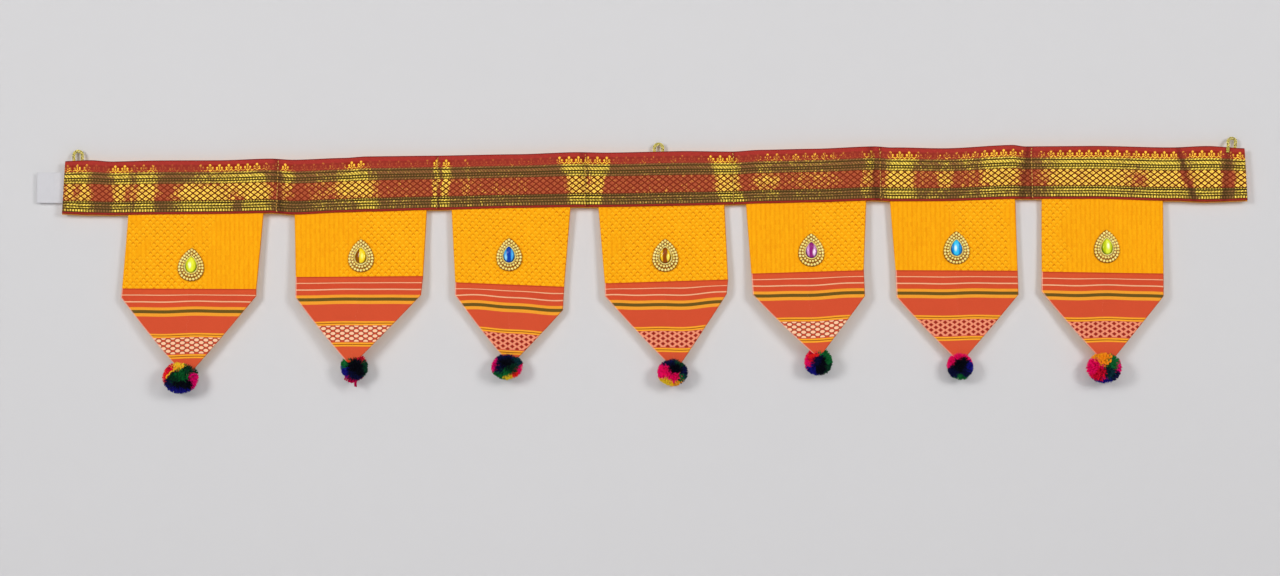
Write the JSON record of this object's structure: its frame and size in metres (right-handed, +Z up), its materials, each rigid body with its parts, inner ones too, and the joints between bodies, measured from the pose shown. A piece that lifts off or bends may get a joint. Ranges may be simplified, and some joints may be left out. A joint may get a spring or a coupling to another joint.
{
  "type": "toran door hanging",
  "caption": "Festive door hanging: a long woven gold border band on cord loops, with pointed yellow and red flaps, drop-shaped bead brooches and yarn pompoms.",
  "frame": {"origin": "where the nail bears in the crown of the centre cord loop", "axes": "+X along the band to the viewer's right, +Y back towards the wall, +Z up"},
  "size_m": [1.0906, 0.0283, 0.2196],
  "materials": {
    "zari_band": "maroon border cloth with woven gold and green zari figures",
    "lining_cloth": "plain yellow-orange lining",
    "label_satin": "plain white satin tape",
    "gold_cord": "twisted metallic gold cord",
    "flap_cloth": "yellow self-figured silk-like cloth with a striped red pallu end",
    "brooch_gold": "gold-plated, beaded",
    "stone_lime": "polished foil-backed drop",
    "stone_amber": "polished foil-backed drop",
    "stone_blue": "polished foil-backed drop",
    "stone_brown": "polished foil-backed drop",
    "stone_purple": "polished foil-backed drop",
    "stone_turquoise": "polished foil-backed drop",
    "pompom_yarn": "clipped acrylic yarn in mixed green, navy, crimson, magenta and yellow"
  },
  "bodies": {
    "root": {"band": "zari_band", "band_lining": "lining_cloth", "side_label": "label_satin", "loop_left": "gold_cord", "loop_centre": "gold_cord", "loop_right": "gold_cord", "flap_1": "flap_cloth", "flap_2": "flap_cloth", "flap_3": "flap_cloth", "flap_4": "flap_cloth", "flap_5": "flap_cloth", "flap_6": "flap_cloth", "flap_7": "flap_cloth", "brooch_1": "brooch_gold", "brooch_2": "brooch_gold", "brooch_3": "brooch_gold", "brooch_4": "brooch_gold", "brooch_5": "brooch_gold", "brooch_6": "brooch_gold", "brooch_7": "brooch_gold", "stone_1": "stone_lime", "stone_2": "stone_amber", "stone_3": "stone_blue", "stone_4": "stone_brown", "stone_5": "stone_purple", "stone_6": "stone_turquoise", "stone_7": "stone_lime", "pompom_1": "pompom_yarn", "pompom_2": "pompom_yarn", "pompom_3": "pompom_yarn", "pompom_4": "pompom_yarn", "pompom_5": "pompom_yarn", "pompom_6": "pompom_yarn", "pompom_7": "pompom_yarn"}
  },
  "joints": []
}
